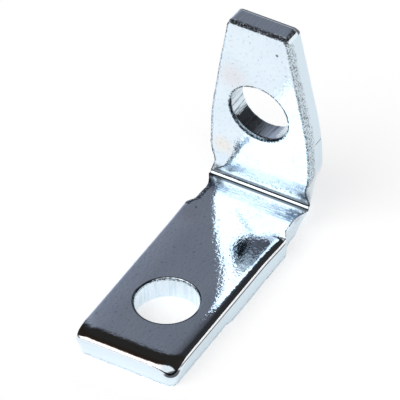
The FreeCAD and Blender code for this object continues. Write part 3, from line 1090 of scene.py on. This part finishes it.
def streak_mask(make, t, x):
    """1 along the soft streak of painted reflection between the crease's left end and the connector hole."""
    (low_t, low_x), (high_t, high_x) = STREAK
    length = math.hypot(high_t - low_t, high_x - low_x)
    along_t, along_x = (high_t - low_t) / length, (high_x - low_x) / length
    t_gap = make.calc("SUBTRACT", t, low_t)
    x_gap = make.calc("SUBTRACT", x, low_x)
    run = make.calc("ADD", make.calc("MULTIPLY", t_gap, along_t), make.calc("MULTIPLY", x_gap, along_x))
    sideways = make.calc("MULTIPLY", x_gap, along_t)
    aside = make.calc("SUBTRACT", sideways, make.calc("MULTIPLY", t_gap, along_x))
    ends = make.all_of(make.ease(run, -0.1, length * 0.5), make.ease(run, length + 0.15, length - 0.15))
    return make.all_of(ends, make.ease(aside, -0.28, -0.08), make.ease(aside, 0.12, -0.02))


def raise_relief(make, striations):
    """Orange peel, fine grain, draw lines down the sheared walls, pits in the torn bands, and striations."""
    make.raise_by(PEEL_HEIGHT, make.grain(make.strip, PEEL_PER_MM))
    off_crease = make.ease(make.calc("ABSOLUTE", make.calc("SUBTRACT", make.t, BEND / 2)), 0.6, 1.4)
    make.raise_by(GRAIN_HEIGHT, make.grain(make.strip, GRAINS_PER_MM), off_crease)
    draw_lines = make.grain(make.stretched(make.strip, (1, 1, 0.06)), 9.0, 3.0, 0.7)
    make.raise_by(DRAW_LINE_HEIGHT, draw_lines, make.sheared)
    make.raise_by(PIT_HEIGHT, make.grit, make.torn)
    make.raise_by(STRIATION_HEIGHT, striations)
    bump = make.nodes.new("ShaderNodeBump")
    bump.inputs["Distance"].default_value = 1.0 / MM
    make.feed(bump.inputs["Height"], make.relief)
    make.feed(make.shader.inputs["Normal"], bump.outputs[0])


def roughen(make):
    """Polished faces, duller walls and matt tears."""
    rough = make.ease(make.grain(make.strip, 2.0, 4.0), 0.3, 0.7, *FACE_ROUGHNESS)
    rough = make.calc("ADD", rough, make.calc("MULTIPLY", make.sheared, WALL_ROUGHNESS))
    rough = make.calc("ADD", rough, make.calc("MULTIPLY", make.torn, TEAR_ROUGHNESS))
    make.feed(make.shader.inputs["Roughness"], rough)


def zinc_plate():
    """Bright zinc plate on steel: mirror-like faces, duller sheared walls, striations beside the fold."""
    make = Shading("zinc_plate")
    tint_faces(make)
    tint_walls(make)
    paint_light_below_rolls(make)
    pit_tears_and_paint_tip_reflection(make)
    outline_holes(make)
    streak_holes(make)
    outline_edges(make)
    tint_marks(make)
    darken_crease(make)
    striations = striate(make)
    paint_upright_line_and_reflection(make)
    paint_hole_reflection(make)
    raise_relief(make, striations)
    roughen(make)
    make.feed(make.shader.inputs["Base Color"], make.colour)
    make.shader.inputs["Metallic"].default_value = 1.0
    return make.material


class Tent(Nodes):
    """The world, as brightness by direction."""

    def __init__(self):
        world = bpy.data.worlds.new("tent")
        super().__init__(world)
        bpy.context.scene.world = world
        self.direction = self.nodes.new("ShaderNodeTexCoord").outputs["Generated"]

    def towards(self, direction):
        """Cosine between the ray and a fixed direction."""
        return self.across("DOT_PRODUCT", self.direction, Vector(direction).normalized())["Value"]


def light_tent():
    """Studio by direction: black overhead, white on the near side above a dark skirting, dim behind."""
    tent = Tent()
    tent.colour = WHITE
    sideways, backward, height = [tent.towards(axis) for axis in ((1, 0, 0), (0, 1, 0), (0, 0, 1))]
    tent.paint(tent.ease(height, *SKIRTING_TOP), DARK)
    tent.paint(tent.ease(backward, *OVERHEAD_START), BLACK)
    tent.paint(tent.ease(backward, *BACKDROP_START), backdrop_tones(tent, sideways))
    tent.paint(tent.ease(backward, *BACKDROP_END), WHITE)
    tent.paint(tent.ease(tent.towards(SOFTBOX), *SOFTBOX_BORDER), SOFTBOX_GLOW)
    tent.feed(tent.nodes["Background"].inputs["Color"], tent.colour)


def backdrop_tones(tent, sideways):
    """The side behind the bracket: pale on the left, then slate, then black on the right."""
    ramp = tent.nodes.new("ShaderNodeValToRGB")
    tent.feed(ramp.inputs[0], tent.calc("MULTIPLY_ADD", sideways, 0.5, 0.5))
    for number, (where, tone) in enumerate(BACKDROP):
        stop = ramp.color_ramp.elements[number] if number < 2 else ramp.color_ramp.elements.new(1.0)
        stop.position = 0.5 + where / 2
        stop.color = tone
    return ramp.outputs[0]


def floor_white():
    """White to the camera and to the metal, with enough of a diffuse share to keep a shadow."""
    material = bpy.data.materials.new("floor_white")
    make = Nodes(material)
    make.nodes.clear()
    diffuse = make.nodes.new("ShaderNodeBsdfDiffuse")
    diffuse.inputs["Color"].default_value = (0.8, 0.8, 0.8, 1)
    glow = make.nodes.new("ShaderNodeEmission")
    glow.inputs["Color"].default_value = (1, 1, 1, 1)
    glow.inputs["Strength"].default_value = FLOOR_GLOW
    path = make.nodes.new("ShaderNodeLightPath").outputs
    seen = make.calc("MAXIMUM", path["Is Camera Ray"], path["Is Glossy Ray"])
    seen = make.calc("MAXIMUM", seen, path["Is Transmission Ray"])
    glow_where_seen = make.nodes.new("ShaderNodeMixShader")
    make.feed(glow_where_seen.inputs[0], seen)
    make.feed(glow_where_seen.inputs[2], glow.outputs[0])
    both = make.nodes.new("ShaderNodeAddShader")
    make.feed(both.inputs[0], diffuse.outputs[0])
    make.feed(both.inputs[1], glow_where_seen.outputs[0])
    output = make.nodes.new("ShaderNodeOutputMaterial")
    make.feed(output.inputs["Surface"], both.outputs[0])
    return material


def white_floor():
    """Floor that the camera and the metal see as the white backdrop."""
    half = FLOOR_SIZE / 2
    mesh = bpy.data.meshes.new("floor")
    corners = [(-half, -half, 0), (half, -half, 0), (half, half, 0), (-half, half, 0)]
    mesh.from_pydata(corners, [], [(0, 1, 2, 3)])
    mesh.materials.append(floor_white())
    floor = bpy.data.objects.new("floor", mesh)
    bpy.context.scene.collection.objects.link(floor)


def make_camera():
    """The photograph's viewpoint, fitted to the bracket's outline: a long lens from the right and above."""
    camera = bpy.data.cameras.new("camera")
    camera.sensor_width = 36.0
    camera.lens = LENS
    camera.clip_start = 0.01
    camera.clip_end = 10.0
    holder = bpy.data.objects.new("camera", camera)
    turn = Matrix((CAMERA_RIGHT, CAMERA_UP, CAMERA_BACK)).transposed().to_4x4()
    holder.matrix_world = Matrix.Translation(CAMERA_PLACE) @ turn
    bpy.context.scene.collection.objects.link(holder)
    bpy.context.scene.camera = holder


light_tent()
white_floor()
make_camera()
bpy.context.scene.view_settings.view_transform = "Standard"
skin = make_bracket(zinc_plate())
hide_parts("bracket")
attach(skin, "root")
